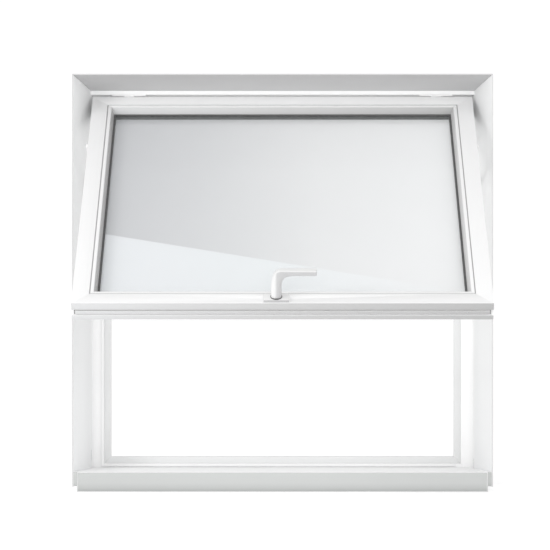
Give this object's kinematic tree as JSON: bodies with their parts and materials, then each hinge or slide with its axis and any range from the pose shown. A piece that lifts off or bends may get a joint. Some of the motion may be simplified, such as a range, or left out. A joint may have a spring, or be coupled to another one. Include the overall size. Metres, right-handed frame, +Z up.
{
  "type": "top-hung sash window",
  "caption": "Rectangular framed window whose glazed sash hinges along its top edge, with a lever handle, splayed reveal boards and a deep sill board.",
  "frame": {"origin": "centre of the underside of the outer frame, halfway through the frame's depth", "axes": "+X to the right seen from the room, -Y towards the room, +Z up"},
  "size_m": [1, 0.8515, 0.992],
  "materials": {
    "frame_plastic": "satin gloss white window plastic",
    "sash_plastic": "satin gloss white window plastic",
    "bead_plastic": "satin gloss white window plastic",
    "reveal_board": "satin light grey paint",
    "sill_plastic": "satin off-white board",
    "gasket_grey": "matt grey rubber",
    "gasket_black": "matt black rubber",
    "spacer_black": "matt black warm-edge spacer",
    "sealant": "black sealant",
    "pane": "clear coated glass",
    "zinc_steel": "zinc plated",
    "handle_white": "white lacquered handle",
    "lever_paint": "white lacquer over cast zinc",
    "bush_plastic": "dark grey bearing plastic",
    "hardware_white": "white powder coat over steel",
    "slider_brass": "turned brass",
    "packer_plastic": "moulded packers"
  },
  "bodies": {
    "frame": {"frame_head": "frame_plastic", "frame_bottom_rail": "frame_plastic", "frame_jamb_left": "frame_plastic", "frame_jamb_right": "frame_plastic", "frame_reinforcement": "zinc_steel", "frame_gasket": "gasket_grey", "head_liner": "reveal_board", "jamb_liner_left": "reveal_board", "jamb_liner_right": "reveal_board", "sill_board": "sill_plastic", "sill_end_caps": "sill_plastic", "hinge_frame_leaf_left": "hardware_white", "hinge_frame_leaf_right": "hardware_white", "hinge_pins": "zinc_steel", "hinge_frame_screws": "zinc_steel", "stay_track_left": "zinc_steel", "stay_track_right": "zinc_steel", "track_screws": "zinc_steel", "bolt_keep_left": "zinc_steel", "bolt_keep_right": "zinc_steel", "keep_screws": "zinc_steel"},
    "sash": {"sash_top_rail": "sash_plastic", "sash_bottom_rail": "sash_plastic", "sash_stile_left": "sash_plastic", "sash_stile_right": "sash_plastic", "sash_reinforcement": "zinc_steel", "inner_pane": "pane", "outer_pane": "pane", "spacer_bar": "spacer_black", "edge_seal": "sealant", "glazing_gasket_front": "gasket_black", "glazing_gasket_back": "gasket_black", "bead_top": "bead_plastic", "bead_bottom": "bead_plastic", "bead_left": "bead_plastic", "bead_right": "bead_plastic", "setting_blocks": "packer_plastic", "hinge_sash_leaf_left": "hardware_white", "hinge_sash_leaf_right": "hardware_white", "hinge_sash_screws": "zinc_steel", "stay_stud_left": "hardware_white", "stay_stud_right": "hardware_white", "pinion_bushes": "bush_plastic", "faceplate": "sash_plastic", "faceplate_screws": "zinc_steel", "handle_base": "zinc_steel", "handle_screws": "zinc_steel", "handle_cover": "handle_white"},
    "handle": {"handle_lever": "lever_paint", "handle_spindle": "zinc_steel", "pinion": "zinc_steel"},
    "bolt_left": {"bolt_rod_left": "zinc_steel"},
    "bolt_right": {"bolt_rod_right": "zinc_steel"},
    "stay_left": {"stay_arm_left": "hardware_white", "stay_slider_left": "slider_brass"},
    "stay_right": {"stay_arm_right": "hardware_white", "stay_slider_right": "slider_brass"}
  },
  "joints": [
    {"name": "sash_hinge", "type": "hinge", "parent": "frame", "child": "sash", "pos_m": [0, -0.032, 0.938], "axis": [-1, 0, 0], "range_deg": [-56.7, 3.3]},
    {"name": "handle_turn", "type": "hinge", "parent": "sash", "child": "handle", "pos_m": [-0.0135, -0.76388, 0.46682], "axis": [0, -0.549, 0.8358], "range_deg": [0, 90]},
    {"name": "bolt_left_slide", "type": "slide", "parent": "sash", "child": "bolt_left", "axis": [-1, 0, 0], "range_m": [0, 0.01414]},
    {"name": "bolt_right_slide", "type": "slide", "parent": "sash", "child": "bolt_right", "axis": [1, 0, 0], "range_m": [0, 0.01414]},
    {"name": "stay_left_swing", "type": "hinge", "parent": "sash", "child": "stay_left", "pos_m": [-0.458, -0.21588, 0.81722], "axis": [-1, 0, 0], "range_deg": [-6.6, 113.4]},
    {"name": "stay_right_swing", "type": "hinge", "parent": "sash", "child": "stay_right", "pos_m": [0.458, -0.21588, 0.81722], "axis": [-1, 0, 0], "range_deg": [-6.6, 113.4]}
  ],
  "couplings": [
    {"joint": "bolt_left_slide", "follows": "handle_turn", "m_per_rad": 0.009},
    {"joint": "bolt_right_slide", "follows": "handle_turn", "m_per_rad": 0.009},
    {"joint": "stay_left_swing", "follows": "sash_hinge", "ratio": -2},
    {"joint": "stay_right_swing", "follows": "sash_hinge", "ratio": -2}
  ]
}
